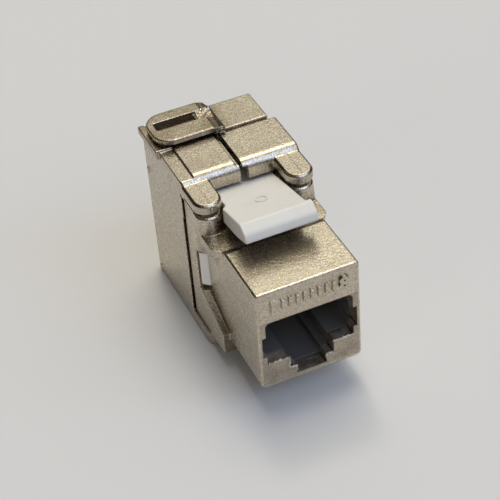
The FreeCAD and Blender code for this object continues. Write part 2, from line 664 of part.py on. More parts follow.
def port_insert():
    """Black moulding that lines the port and holds the contacts."""
    half = cavity_half - FIT_GAP
    block = box(-half, half, insert_front, insert_back, cavity_floor + FIT_GAP,
                cavity_top - FIT_GAP)
    port = prism(port_outline(), "xz", 0, PORT_DEPTH)
    port = port.common(box(-BEYOND, BEYOND, 0, PORT_DEPTH, cavity_floor + INSERT_FLOOR_T,
                           BEYOND))
    slots = []
    slot_half = CONTACT_W / 2 + FIT_GAP
    slot_top = CONTACT_RUN_Z + CONTACT_T / 2 + FIT_GAP
    for index in range(CONTACT_COUNT):
        x = contact_x(index)
        slots.append(box(x - slot_half, x + slot_half, CONTACT_FRONT - 0.8, insert_back + 1,
                         CONTACT_RUN_Z - CONTACT_T / 2 - FIT_GAP, slot_top))
        slots.append(box(x - slot_half, x + slot_half, CONTACT_FRONT - 0.8, PORT_DEPTH,
                         port_top - 1, slot_top))
    return block.cut([port] + slots)


def port_contact(index):
    """One spring contact: a run along the roof, a hairpin at the front, a sprung arm."""
    half = CONTACT_T / 2
    bend_r = (CONTACT_RUN_Z - port_top) / 2 + 0.1
    run_end = board_back + FIT_GAP
    low_z = CONTACT_RUN_Z - 2 * bend_r
    arm_start = CONTACT_FRONT + bend_r
    tip_y = PORT_DEPTH - 1.6
    rise = low_z - CONTACT_TIP_Z - half
    length = math.hypot(tip_y - arm_start, rise)
    dy = half * rise / length
    dz = half * (tip_y - arm_start) / length
    x0 = contact_x(index) - CONTACT_W / 2
    x1 = x0 + CONTACT_W
    run = box(x0, x1, arm_start, run_end, CONTACT_RUN_Z - half, CONTACT_RUN_Z + half)
    ring_mid = CONTACT_RUN_Z - bend_r
    ring = cylinder(Vector(x0, arm_start, ring_mid), Vector(1, 0, 0), bend_r + half, CONTACT_W)
    ring = ring.cut(cylinder(Vector(x0 - 1, arm_start, ring_mid), Vector(1, 0, 0),
                             bend_r - half, CONTACT_W + 2))
    ring = ring.cut(box(x0 - 1, x1 + 1, arm_start, arm_start + 5, ring_mid - 5, ring_mid + 5))
    arm = prism([(arm_start - dy, low_z - dz), (tip_y - dy, low_z - rise - dz),
                 (tip_y + dy, low_z - rise + dz), (arm_start + dy, low_z + dz)], "yz", x0, x1)
    heel = box(x0, x1, arm_start - 0.05, arm_start + 0.05, low_z - half, low_z + half)
    return joined([run, ring, arm, heel])


def circuit_board():
    half = cavity_half - FIT_GAP
    board = box(-half, half, board_front, board_back, cavity_floor + FIT_GAP,
                cavity_top - FIT_GAP)
    holes = []
    slot = CONTACT_W / 2 + BOARD_PIN_GAP
    for index in range(CONTACT_COUNT):
        x = contact_x(index)
        holes.append(box(x - slot, x + slot, board_front - 1, board_back + 1,
                         CONTACT_RUN_Z - slot, CONTACT_RUN_Z + slot))
    tail = IDC_T / 2 + BOARD_PIN_GAP
    for x, z in idc_places():
        holes.append(box(x - tail, x + tail, board_front - 1, board_back + 1,
                         tail_z(z) - tail, tail_z(z) + tail))
    return board.cut(holes)


def tail_z(z):
    """Board level of an insulation-displacement contact's tail: drawn in to clear the pins."""
    return wing_middle + (z - wing_middle) * IDC_TAIL_DRAW


def idc_block():
    """White block behind the board, with its snap nibs in the housing's side windows."""
    half = cavity_half - FIT_GAP
    low = cavity_floor + FIT_GAP
    high = cavity_top - FIT_GAP
    block = prism(rectangle(-half, half, low, high, BLOCK_EDGE_R), "xz", block_front, block_back)
    tail = box(-half, half, body_back + 0.5, block_back, wing_middle - MANAGER_H / 2,
               wing_middle + MANAGER_H / 2)
    nib_tip = -flange_half + NIB_SET_IN
    nib = prism([(-half + BITE, block_front + FIT_GAP), (-nose_half, window_front + 2 * FIT_GAP),
                 (nib_tip, window_back - 5 * FIT_GAP), (nib_tip, window_back - FIT_GAP),
                 (-half + BITE, window_back - FIT_GAP)],
                "xy", window_low + NIB_RISE, window_high - FIT_GAP)
    relief = box(-half - 1, -half + NIB_RELIEF, block_front - 1, window_back + WINDOW_SPARE,
                 window_low, window_low + NIB_RISE)
    slots = []
    for x, z in idc_places():
        slots.append(box(x - IDC_T / 2 - FIT_GAP, x + IDC_T / 2 + FIT_GAP, block_front - 1,
                         block_back + 1, min(z, tail_z(z)) - IDC_H / 2 - FIT_GAP,
                         max(z, tail_z(z)) + IDC_H / 2 + FIT_GAP))
    return joined([block, tail] + both_sides(nib)).cut(slots + both_sides(relief))


def idc_contact(x, z):
    """Forked blade that a wire is pressed into, with a tail through the board."""
    x0 = x - IDC_T / 2
    x1 = x + IDC_T / 2
    tip = block_back + IDC_REACH
    foot = block_front + IDC_H / 4
    blade = prism([(foot, z - IDC_H / 2), (tip - BITE, z - IDC_H / 2), (tip, z - IDC_H / 4),
                   (tip, z + IDC_H / 4), (tip - BITE, z + IDC_H / 2), (foot, z + IDC_H / 2)],
                  "yz", x0, x1)
    slit = box(x0 - 1, x1 + 1, block_back - 1.5, tip + 1, z - IDC_SLIT / 2, z + IDC_SLIT / 2)
    mouth = prism([(tip - 0.5, z), (tip + 0.1, z - IDC_H / 4), (tip + 0.1, z + IDC_H / 4)],
                  "yz", x0 - 1, x1 + 1)
    level = tail_z(z)
    web = box(x0, x1, block_front + 2 * FIT_GAP, foot + IDC_H / 4, min(z, level) - IDC_T / 2,
              max(z, level) + IDC_T / 2)
    tail = box(x0, x1, board_front, foot, level - IDC_T / 2, level + IDC_T / 2)
    return joined([blade.cut([slit, mouth]), web, tail])


def wire_manager():
    """White cap that carries the eight wires onto the blades."""
    half = wing_half - REAR_INSET - WING_WALL - MANAGER_SIDE_GAP
    low = wing_middle - MANAGER_H / 2
    high = wing_middle + MANAGER_H / 2
    cap = prism(rectangle(-half, half, low, high, 2 * BLOCK_EDGE_R), "xz", manager_front,
                manager_back)
    bore = cylinder(Vector(0, manager_front - 1, wing_middle), Vector(0, 1, 0), MANAGER_BORE_R,
                    MANAGER_L + 2)
    cuts = [bore]
    for x, z in idc_places():
        away = 1 if z > wing_middle else -1
        blade_end = z + away * (IDC_H / 2 + FIT_GAP)
        blade_start = z - away * (IDC_H / 2 + FIT_GAP)
        cuts.append(box(x - IDC_T / 2 - FIT_GAP, x + IDC_T / 2 + FIT_GAP, manager_front - 1,
                        block_back + IDC_REACH + 0.2, min(blade_end, blade_start),
                        max(blade_end, blade_start)))
        outer = wing_middle + away * (MANAGER_H / 2 + 1)
        cuts.append(box(x - WIRE_W / 2, x + WIRE_W / 2, block_back + 0.9, block_back + 0.9 + WIRE_W,
                        min(outer, z), max(outer, z)))
    return cap.cut(cuts)


def shield_spring():
    """Left earthing spring, bowed into the port from its side slot."""
    x_wall = -cavity_half + FIT_GAP
    x_bow = -PORT_W / 2 + SPRING_BOW
    y0 = insert_front + FIT_GAP
    y1 = y0 + SPRING_LEN
    y_mid = (y0 + y1) / 2
    low = -SPRING_SLOT_DROP - SPRING_SLOT_H / 2 + 3 * FIT_GAP
    high = -SPRING_SLOT_DROP + SPRING_SLOT_H / 2 - 3 * FIT_GAP
    outer = [Vector(x_wall, y0, low), Vector(x_bow - SPRING_T, y_mid, low), Vector(x_wall, y1, low)]
    inner = [p + Vector(SPRING_T, 0, 0) for p in outer]
    edges = [Part.Arc(*outer).toShape(), Part.LineSegment(outer[2], inner[2]).toShape(),
             Part.Arc(*reversed(inner)).toShape(), Part.LineSegment(inner[0], outer[0]).toShape()]
    return Part.Face(Part.Wire(edges)).extrude(Vector(0, 0, high - low))


# ---------------------------------------------------------------- all pieces
def pieces():
    named = {"front_housing": front_housing(), "left_wing": left_wing(),
             "right_wing": right_wing(), "latch_lever": latch_lever(),
             "port_insert": port_insert(), "circuit_board": circuit_board(),
             "idc_block": idc_block(), "wire_manager": wire_manager()}
    for index in range(CONTACT_COUNT):
        named["port_contact_%d" % (index + 1)] = port_contact(index)
    for index, (x, z) in enumerate(idc_places()):
        named["idc_contact_%d" % (index + 1)] = idc_contact(x, z)
    left_spring = shield_spring()
    named["shield_spring_left"] = left_spring
    named["shield_spring_right"] = mirrored(left_spring)
    return named


os.makedirs("parts", exist_ok=True)
for name, shape in pieces().items():
    if not shape.isValid() or len(shape.Solids) != 1:
        print("check", name, "valid", shape.isValid(), "solids", len(shape.Solids))
    shape.exportStep(os.path.join("parts", name + ".step"))
print("hinge at x %.3f y %.3f, latch pivot y %.3f z %.3f" % (hinge_x, hinge_y, latch_y, latch_z))
print("wing bottom %.3f top %.3f back %.3f" % (wing_bottom, wing_top, wing_back))
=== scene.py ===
"""A shielded keystone jack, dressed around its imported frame. Sizes are in metres."""
import math

import bpy
from bpy.props import FloatProperty, FloatVectorProperty, IntProperty, PointerProperty
from mathutils import Matrix, Vector


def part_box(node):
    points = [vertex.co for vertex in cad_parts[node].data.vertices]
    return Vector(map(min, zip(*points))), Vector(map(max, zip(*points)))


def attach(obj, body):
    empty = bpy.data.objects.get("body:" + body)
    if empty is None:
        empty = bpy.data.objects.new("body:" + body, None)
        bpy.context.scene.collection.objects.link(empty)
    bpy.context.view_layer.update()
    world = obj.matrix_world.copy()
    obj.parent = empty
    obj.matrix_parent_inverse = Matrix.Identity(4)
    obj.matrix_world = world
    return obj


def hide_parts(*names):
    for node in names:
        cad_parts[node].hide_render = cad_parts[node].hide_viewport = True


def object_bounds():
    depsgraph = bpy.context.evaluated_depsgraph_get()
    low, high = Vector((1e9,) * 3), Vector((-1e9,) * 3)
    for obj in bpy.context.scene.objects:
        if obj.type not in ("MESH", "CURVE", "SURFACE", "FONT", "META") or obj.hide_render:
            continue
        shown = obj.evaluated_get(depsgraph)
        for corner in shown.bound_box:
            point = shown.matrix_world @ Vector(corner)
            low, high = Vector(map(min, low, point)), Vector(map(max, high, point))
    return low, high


bl_info = {
    "name": "Keystone Jack",
    "version": (1, 0, 0),
    "blender": (4, 5, 0),
    "location": "View3D > Sidebar > Keystone Jack",
    "description": "Dresses a shielded keystone jack with its castings, latch, contacts and studio",
    "category": "Object",
}

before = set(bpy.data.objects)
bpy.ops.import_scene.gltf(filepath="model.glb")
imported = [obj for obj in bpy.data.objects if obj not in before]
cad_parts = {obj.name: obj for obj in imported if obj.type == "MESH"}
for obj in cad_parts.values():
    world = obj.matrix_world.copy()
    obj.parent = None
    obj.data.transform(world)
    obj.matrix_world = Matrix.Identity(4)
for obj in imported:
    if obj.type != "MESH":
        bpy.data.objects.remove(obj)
CAD_LOW, CAD_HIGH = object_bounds()
MM = 0.001

# Modelling
MOST_TRIANGLES = 150000           # of one recast piece
WELD = 0.002 * MM                 # corners of a CAD copy this close are merged
TOUCHING = 0.001 * MM             # points this close to an edge lie on it
CREASE = math.radians(35)         # edges sharper than this stay sharp
MARK_CREASE = math.radians(40)
SINK = 0.2 * MM                   # marks and torn patches start this deep in the metal

# The front face and its marks
CONTACTS = 8
CONTACT_PITCH = 1.02 * MM
PORT_TOP = 3.45 * MM
PORT_FLOOR = -3.45 * MM
POSTS_OVER_NOSE = 2.36 * MM       # top of the hinge posts over the nose's top
NUMBER_OUT = 5.0 * MM             # from the middle to each end number
NUMBER_EDGE = 0.05 * MM           # rounding of the numbers
STROKE_MORE = 0.11 * MM           # what fattens the numbers' strokes on each side
FONT_OVER_DIGIT = 1.4             # font size over the height of a number
TICK_SHARE = 0.8                  # height of a tick over that of a number
TICK_EDGE = 0.09 * MM

# The flash along the port's lower edges
FLASH_BACK = 0.03 * MM            # it lies this far behind the front face
FLASH_DROP = 0.9 * MM             # and runs this far down the narrow slot's corners
FLASH_SIDES = 12
FLASH_CELLS = 3                   # recast cells in its radius
FLASH_LUMP = 0.30 * MM
FLASH_ROUGH = 3.4                 # depth of its lumps over its radius

# The loop of the right wing and its torn patches
LOOP_DEEP = 0.5 * MM              # from the loop's top down to its web
REAR_BAR = 2.05 * MM              # width of the loop's rear and front bars and its slot
FRONT_BAR = 3.1 * MM
SLOT_ACROSS = 1.85 * MM
SLOT_TEAR_X = (-1.25 * MM, 0.85 * MM)
ROOT_TEAR_X = (-0.25 * MM, 1.0 * MM)
TEAR_FLAT = 0.45                  # share of a patch that lies in front of its climb
TEAR_CLIMBS = (0.2, 0.35, 0.45)   # shares of the climb, a step each
TEAR_CUTS = 11
TEAR_LUMP = 0.32 * MM
TEAR_ROUGH = 0.34 * MM            # depth of the lumps
TEAR_THICK = 0.3 * MM

# The latch and its ejector ring
LATCH_SLOPE = 0.24                # fall of the latch's top towards its root
LATCH_CREST_IN = 2.0 * MM         # from the latch's tip back to its crest
RING_BACK = 7.2 * MM              # from the latch's rear end to the ring
RING_SIDES = 64
RING_HIGH = 0.2 * MM
RING_WALL = 0.16 * MM
RING_DEEP = 0.12 * MM             # depth of its hollow
RING_EDGE = 0.04 * MM

# Regions of the castings, as two corners: the first and third are left as cast, in tones dark
# enough to
# # paint the shade in the port and the slot; the others are darkened, as painted shade under the
# latch
PORT_WALLS = (Vector((-6.9, 0.06, -6.95)) * MM, Vector((6.9, 1.95, 3.6)) * MM)
UNDER_LATCH = (Vector((-9.0, 12.0, 5.0)) * MM, Vector((9.0, 16.0, 9.0)) * MM)
SLOT_FLOOR = (Vector((-7.4, 30.4, 13.9)) * MM, Vector((1.0, 32.35, 14.4)) * MM)
LOOP = (Vector((-12.0, 26.9, 13.0)) * MM, Vector((1.6, 36.0, 16.0)) * MM)

# Patterns, in cells a metre, and how far their masks reach
GRAINS = 5200.0
FLAKES = 5600.0
PITS = 2300.0
RUBS = 640.0
CLOUDS = 420.0
WAVES = 260.0
STAINS = 150.0
PLASTIC_CLOUDS = 330.0
METAL_CLOUDS = 900.0
DRAWN_LINES = (9000.0, 700.0, 9000.0)
EDGE_REACH = 0.26 * MM
# Reaches of the painted shade in the castings' hollows and the plastics' corners:
HOLLOW_REACH = 0.55 * MM
CORNER_SHADE_REACH = 0.7 * MM
ROUGH_FADE = 0.1 * MM             # fading of the as-cast region and of the darkened one
DARKENED_FADE = 0.9 * MM
GRAIN_DEPTH = 0.034 * MM
WAVE_DEPTH = 0.12 * MM
LINE_DEPTH = 0.006 * MM

# Tints
SPECK_DARK = (0.64, 0.61, 0.56)   # casting grain, darker and lighter than the plate
SPECK_BRIGHT = (1.24, 1.23, 1.20)
# The as-cast tones are dark enough to paint the shade in the port and the slot.
AS_CAST_SHADED_DARK = (0.16, 0.13, 0.10)
AS_CAST_SHADED_PALE = (0.46, 0.39, 0.31)
# Painted shade under the latch, and darker cloudy patches over the loop.
DARKENED_TINT = (0.66, 0.62, 0.55)
# Painted shade where tops round to sides.
RIM_SHADE_TINT = (0.26, 0.22, 0.18)
# Handling dirt, and painted shade in the plastics' corners.
GRIME_AND_SHADE_TINT = (0.62, 0.57, 0.48)
WORN_SHADE = 0.72                 # worn plating over fresh plating

# Colour sockets of a Mix node
MIX_FACTOR, MIX_A, MIX_B, MIX_RESULT = 0, 6, 7, 2

# Studio
FLOOR_RADIUS = 2.5
LAMP_TARGET = Vector((0, 0.016, 0))
CAMERA_PLACE = Vector((-0.058586, -0.133814, 0.135734))
CAMERA_AHEAD = Vector((0.27488, 0.71738, -0.64016))
CAMERA_ROLL = math.radians(-4.995)
CAMERA_LENS = 111.43
CAMERA_NEAR = 0.005
CAMERA_FAR = 10.0


# ---------------------------------------------------------------- settings
def tone(name, description, default):
    return FloatVectorProperty(name=name, description=description, default=default,
                               subtype="COLOR", size=3, min=0.0, max=1.0)


def length(name, description, default):
    return FloatProperty(name=name, description=description, default=default,
                         subtype="DISTANCE", unit="LENGTH", min=0.0)


def passes(name, description, default):
    return IntProperty(name=name, description=description, default=default, min=0, max=20)


class KeystoneFinishes(bpy.types.PropertyGroup):
    nickel: tone("Nickel", "Satin nickel plate over the castings", (0.61, 0.55, 0.46))
    nickel_worn: tone("Worn nickel", "Rubbed edges of the castings", (0.86, 0.81, 0.70))
    # The dull tone also paints the shade in the castings' corners.
    nickel_dull_and_shade: tone("Dull nickel", "Stained patches and corners of the castings",
                      (0.22, 0.175, 0.12))
    flash_nickel: tone("Flash nickel", "Plate over the ragged flash", (0.66, 0.60, 0.50))
    latch_white: tone("Latch white", "White moulding of the latch", (0.545, 0.527, 0.488))
    block_white: tone("Block white", "White moulding behind the side windows",
                      (0.74, 0.73, 0.68))
    lining_black: tone("Lining black", "Black moulding inside the port", (0.070, 0.067, 0.062))
    gold: tone("Gold", "Plating of the plug contacts", (0.90, 0.66, 0.28))
    tin: tone("Tin", "Plating of the wire contacts", (0.72, 0.72, 0.70))
    spring: tone("Spring", "Shield springs", (0.62, 0.60, 0.56))
    board_green: tone("Board green", "Solder mask of the circuit board", (0.02, 0.11, 0.05))
    floor: tone("Floor", "Plain pale floor", (0.475, 0.472, 0.47))


class KeystoneSizes(bpy.types.PropertyGroup):
    casting_cell: length("Casting cell", "Cell that the castings are recast in", 0.09 * MM)
    latch_cell: length("Latch cell", "Cell that the latch is recast in", 0.09 * MM)
    lining_cell: length("Lining cell", "Cell that the lining is recast in", 0.10 * MM)
    mark_height: length("Mark height", "Height of the raised end numbers", 1.9 * MM)
    mark_relief: length("Mark relief", "How far the marks stand out of the face", 0.34 * MM)
    tick_width: length("Tick width", "Width of each raised contact tick", 0.48 * MM)
    port_half: length("Port half width", "Half the width of the plug port", 6.15 * MM)
    tab_wide_half: length("Wide slot half width", "Half the upper tab slot's width", 3.2 * MM)
    tab_narrow_half: length("Narrow slot half width", "Half the lower tab slot's width",
                            2.15 * MM)
    tab_wide_drop: length("Wide slot drop", "Depth of the upper tab slot", 1.85 * MM)
    flash_radius: length("Flash radius", "Radius of the casting flash", 0.15 * MM)
    ring_radius: length("Ring radius", "Outer radius of the ring on the latch", 0.85 * MM)
    casting_soften: passes("Casting softening", "Passes that round the castings' edges", 4)
    latch_soften: passes("Latch softening", "Passes that round the latch's edges", 14)
    lining_soften: passes("Lining softening", "Passes that round the lining's edges", 1)


def settings():
    return bpy.context.scene.keystone_finishes, bpy.context.scene.keystone_sizes


# ---------------------------------------------------------------- modelling
def pick(obj):
    """Leaves obj as the only selected object, and active."""
    bpy.ops.object.select_all(action="DESELECT")
    obj.select_set(True)
    bpy.context.view_layer.objects.active = obj


def select_parts(obj, chosen):
    """Leaves the chosen edges or faces as the only ones selected, for edit mode."""
    mesh = obj.data
    for part in [*mesh.vertices, *mesh.edges, *mesh.polygons]:
        part.select = False
    for part in chosen:
        part.select = True


def applied(obj, kind, **values):
    """Adds a modifier of that kind with those values and applies it."""
    pick(obj)
    modifier = obj.modifiers.new(kind.title(), kind)
    for name, value in values.items():
        setattr(modifier, name, value)
    bpy.ops.object.modifier_apply(modifier=modifier.name)


def settle(obj):
    """Puts the object's place into its mesh."""
    pick(obj)
    bpy.ops.object.transform_apply(location=True, rotation=True, scale=True)


def copied(piece, name, move):
    """A copy of the piece with its own mesh, moved by that much."""
    pick(piece)
    bpy.ops.object.duplicate()
    other = bpy.context.view_layer.objects.active
    other.name = name
    other.location = move
    settle(other)
    return other


def dressed_copy(node, name, body, cell, soften):
    """A copy of a frame part, recast in small cells so that its edges come out soft."""
    pick(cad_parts[node])
    bpy.ops.object.duplicate()
    piece = bpy.context.view_layer.objects.active
    piece.name = name
    piece.data.name = name
    piece.parent = None
    for key in list(piece.keys()):
        del piece[key]
    bpy.ops.object.mode_set(mode="EDIT")
    bpy.ops.mesh.select_all(action="SELECT")
    bpy.ops.mesh.remove_doubles(threshold=WELD)
    bpy.ops.object.mode_set(mode="OBJECT")
    applied(piece, "REMESH", mode="VOXEL", voxel_size=cell, adaptivity=0.0)
    applied(piece, "SMOOTH", factor=0.5, iterations=soften)
    triangles = 2 * len(piece.data.polygons)
    if triangles > MOST_TRIANGLES:
        applied(piece, "DECIMATE", decimate_type="COLLAPSE", ratio=MOST_TRIANGLES / triangles)
    pick(piece)
    bpy.ops.object.shade_smooth()
    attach(piece, body)
    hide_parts(node)
    return piece


# ---------------------------------------------------------------- finishes
class Nodes:
    """Shorthand for building one node tree."""

    def __init__(self, tree):
        self.tree = tree

    def add(self, kind, inputs=None, **values):
        made = self.tree.nodes.new(kind)
        for name, value in values.items():
            setattr(made, name, value)
        self.fill(made, inputs or {})
        return made

    def fill(self, made, inputs):
        for name, value in inputs.items():
            self.set(made, name, value)

    def set(self, made, name, value):
        socket = made.inputs[name]
        if isinstance(value, bpy.types.NodeSocket):
            self.tree.links.new(value, socket)
        elif socket.type == "RGBA" and len(value) == 3:
            socket.default_value = tuple(value) + (1.0,)
        else:
            socket.default_value = value

    def noise(self, place, scale, detail, roughness=0.6):
        return self.add("ShaderNodeTexNoise",
                        {"Vector": place, "Scale": scale, "Detail": detail,
                         "Roughness": roughness}).outputs["Fac"]

    def spread(self, value, low, high, to_low=0.0, to_high=1.0):
        return self.add("ShaderNodeMapRange",
                        {"Value": value, "From Min": low, "From Max": high,
                         "To Min": to_low, "To Max": to_high}).outputs["Result"]

    def worked(self, operation, a, b):
        return self.add("ShaderNodeMath", {0: a, 1: b}, operation=operation).outputs[0]

    def times(self, a, b):
        return self.worked("MULTIPLY", a, b)

    def plus(self, a, b):
        return self.worked("ADD", a, b)

    def minus(self, a, b):
        return self.worked("SUBTRACT", a, b)

    def larger(self, a, b):
        return self.worked("MAXIMUM", a, b)

    def aligned(self, a, b):
        """One where both directions agree, less as they turn apart."""
        return self.add("ShaderNodeVectorMath", {0: a, 1: b},
                        operation="DOT_PRODUCT").outputs["Value"]

    def blend(self, factor, a, b, kind="MIX"):
        made = self.add("ShaderNodeMix", {MIX_FACTOR: factor, MIX_A: a, MIX_B: b},
                        data_type="RGBA", blend_type=kind)
        return made.outputs[MIX_RESULT]

    def openness(self, reach, samples):
        """One in the open and nothing in a tight corner."""
        return self.add("ShaderNodeAmbientOcclusion", {"Distance": reach},
                        samples=samples).outputs["AO"]

    def bump(self, height, strength, depth, **under):
        return self.add("ShaderNodeBump", {"Height": height, "Strength": strength,
                                           "Distance": depth, **under}).outputs["Normal"]


def new_finish(name):
    material = bpy.data.materials.new(name)
    material.use_nodes = True
    nodes = Nodes(material.node_tree)
    shader = material.node_tree.nodes["Principled BSDF"]
    place = nodes.add("ShaderNodeTexCoord").outputs["Object"]
    return material, nodes, shader, place


def tinted(colour, tint):
    return tuple(c * k for c, k in zip(colour, tint))


def edge_mask(nodes, radius, low, high):
    """One along outer edges and nothing on flats or in corners."""
    soft = nodes.add("ShaderNodeBevel", {"Radius": radius}, samples=6).outputs["Normal"]
    hard = nodes.add("ShaderNodeNewGeometry").outputs["Normal"]
    turned = nodes.spread(nodes.minus(1.0, nodes.aligned(soft, hard)), low, high)
    outer = nodes.spread(nodes.openness(radius * 2.5, 6), 0.72, 0.98)
    return nodes.times(turned, outer)


def box_mask(nodes, place, low, high, soft):
    """One between two corners, fading to nothing over that distance outside them."""
    axes = nodes.add("ShaderNodeSeparateXYZ", {"Vector": place})
    mask = 1.0
    for axis, start, end in zip("XYZ", low, high):
        at = axes.outputs[axis]
        mask = nodes.times(mask, nodes.spread(at, start - soft, start))
        mask = nodes.times(mask, nodes.spread(at, end + soft, end))
    return mask


def rim_shade_mask(nodes, rubbed):
    """Painted shade: one, in broken lengths, where an edge rounds from the top to a side."""
    normal = nodes.add("ShaderNodeTexCoord").outputs["Normal"]
    turn = nodes.add("ShaderNodeSeparateXYZ", {"Vector": normal}).outputs
    sideways = nodes.spread(nodes.times(turn["X"], turn["X"]), 0.08, 0.24)
    upwards = nodes.spread(turn["Z"], 0.28, 0.48)
    return nodes.times(nodes.times(sideways, upwards),
                       nodes.spread(rubbed, 0.38, 0.52, 0.55, 1.0))


def casting_specks(nodes, place):
    """Flakes and grains that light and darken the plate."""
    grain = nodes.spread(nodes.noise(place, GRAINS, detail=2.0), 0.3, 0.7)
    cells = nodes.add("ShaderNodeTexVoronoi", {"Vector": place, "Scale": FLAKES}, feature="F1")
    flake = nodes.add("ShaderNodeSeparateColor", {"Color": cells.outputs["Color"]})
    return nodes.plus(nodes.times(flake.outputs["Red"], 0.55), nodes.times(grain, 0.45))


def patches_and_hollow_shade(nodes, place, pits, cloud):
    """Dull patches where pits gather and as wide stains, and painted shade in hollows."""
    # Painted shade: the plate dulls where hollows keep out the light.
    hollow = nodes.openness(HOLLOW_REACH, 8)
    stain = nodes.noise(place, STAINS, detail=5.0, roughness=0.62)
    dull = nodes.times(nodes.spread(hollow, 0.62, 0.12, 0.0, 0.80),
                       nodes.spread(cloud, 0.25, 0.6, 0.65, 1.0))
    pitted = nodes.times(nodes.spread(pits, 0.40, 0.30),
                         nodes.spread(cloud, 0.42, 0.60, 0.10, 0.85))
    return nodes.larger(nodes.larger(dull, pitted), nodes.spread(stain, 0.50, 0.75, 0.0, 0.30))


def casting_finish(name, shade, as_cast_shaded_box, darkened_box):
    """Satin nickel over a fine as-cast grain, rubbed on edges, with painted shade in corners and
    where tops
    round to sides: left rough as cast in one box, and darkened in cloudy patches in the other."""
    finishes = settings()[0]
    plate = [c * shade for c in finishes.nickel]
    material, nodes, shader, place = new_finish(name)
    pits = nodes.noise(place, PITS, detail=3.0)
    cloud = nodes.noise(place, CLOUDS, detail=4.0)
    rubbed = nodes.noise(place, RUBS, detail=3.0)
    wavy = nodes.noise(place, WAVES, detail=2.0, roughness=0.5)
    speck = casting_specks(nodes, place)
    edge = edge_mask(nodes, EDGE_REACH, 0.016, 0.11)
    wear = nodes.times(edge, nodes.spread(rubbed, 0.46, 0.62, 0.0, 0.8))
    grimy = nodes.times(edge, nodes.spread(rubbed, 0.48, 0.36, 0.0, 0.8))
    patch = nodes.larger(patches_and_hollow_shade(nodes, place, pits, cloud), grimy)
    cast = box_mask(nodes, place, *as_cast_shaded_box, ROUGH_FADE)
    # Darkened in cloudy patches: painted shade under the latch, darker patches over the loop.
    darkened = nodes.times(box_mask(nodes, place, *darkened_box, DARKENED_FADE),
                          nodes.spread(cloud, 0.34, 0.62, 0.35, 1.0))

    colour = nodes.blend(speck, tinted(plate, SPECK_DARK), tinted(plate, SPECK_BRIGHT))
    colour = nodes.blend(patch, colour, finishes.nickel_dull_and_shade)
    colour = nodes.blend(wear, colour, finishes.nickel_worn)
    # As-cast metal, in tones dark enough to paint the shade in the port and the slot.
    unplated_and_shaded = nodes.blend(nodes.spread(cloud, 0.35, 0.65), AS_CAST_SHADED_DARK, AS_CAST_SHADED_PALE)
    colour = nodes.blend(cast, colour, unplated_and_shaded)
    colour = nodes.blend(darkened, colour, DARKENED_TINT, "MULTIPLY")
    # Painted shade along the rounding from tops to sides.
    colour = nodes.blend(rim_shade_mask(nodes, rubbed), colour, RIM_SHADE_TINT, "MULTIPLY")

    rough = nodes.spread(speck, 0.0, 1.0, 0.32, 0.20)
    rough = nodes.plus(rough, nodes.spread(patch, 0.0, 1.0, 0.0, 0.10))
    rough = nodes.minus(rough, nodes.spread(wear, 0.0, 1.0, 0.0, 0.14))
    rough = nodes.plus(rough, nodes.times(cast, 0.55))

    grainy = nodes.bump(nodes.plus(nodes.times(speck, 0.6), pits), 0.9, GRAIN_DEPTH)
    nodes.fill(shader, {"Base Color": colour, "Metallic": 1.0, "Roughness": rough,
                        "Normal": nodes.bump(wavy, 0.35, WAVE_DEPTH, Normal=grainy)})
    return material


def plastic_finish(name, colour, roughness, grain_depth, dust):
    """Moulded plastic with a fine spark-eroded texture, a little handling dirt, and painted shade
    in its corners.
    """
    material, nodes, shader, place = new_finish(name)
    grain = nodes.noise(place, GRAINS, detail=3.0)
    cloud = nodes.noise(place, PLASTIC_CLOUDS, detail=4.0)
    # Painted shade in corners, with handling dust in cloudy patches.
    grime_and_shade = nodes.times(nodes.spread(nodes.openness(CORNER_SHADE_REACH, 6), 0.95, 0.35, 0.0, 0.55),
                        nodes.spread(cloud, 0.3, 0.7, 0.4, 1.0))
    grime_and_shade = nodes.plus(grime_and_shade, nodes.spread(cloud, 0.48, 0.75, 0.0, dust))
    rough = nodes.spread(grain, 0.3, 0.7, roughness - 0.07, roughness + 0.08)
    nodes.fill(shader, {
        "Base Color": nodes.blend(grime_and_shade, tuple(colour), tinted(colour, GRIME_AND_SHADE_TINT)),
        "Roughness": rough,
        "Normal": nodes.bump(grain, 0.4, grain_depth)})
    return material


def plated_finish(name, colour, roughness):
    """Plated metal with faint drawing lines, for contacts, springs and flash."""
    material, nodes, shader, place = new_finish(name)
    along = nodes.add("ShaderNodeMapping", {"Vector": place, "Scale": DRAWN_LINES})
    lines = nodes.noise(along.outputs["Vector"], 1.0, detail=2.0)
    worn = nodes.spread(nodes.noise(place, METAL_CLOUDS, detail=3.0), 0.45, 0.7)
    darker = tuple(c * WORN_SHADE for c in colour)
    rough = nodes.spread(lines, 0.3, 0.7, roughness - 0.06, roughness + 0.10)
    nodes.fill(shader, {
        "Base Color": nodes.blend(worn, tuple(colour), darker),
        "Metallic": 1.0,
        "Roughness": rough,
        "Normal": nodes.bump(lines, 0.3, LINE_DEPTH)})
    return material


def paint(objects, material):
    for obj in objects:
        obj.data.materials.clear()
        obj.data.materials.append(material)


def frame_nodes(start):
    """The frame's parts whose names begin that way, in order."""
    return [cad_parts[n] for n in sorted(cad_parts) if n.startswith(start)]


# ---------------------------------------------------------------- small pieces
def mark_level():
    """Height of the marks: half way between the port and the nose's top."""
    return (PORT_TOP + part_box("front_housing")[1].z - POSTS_OVER_NOSE) / 2


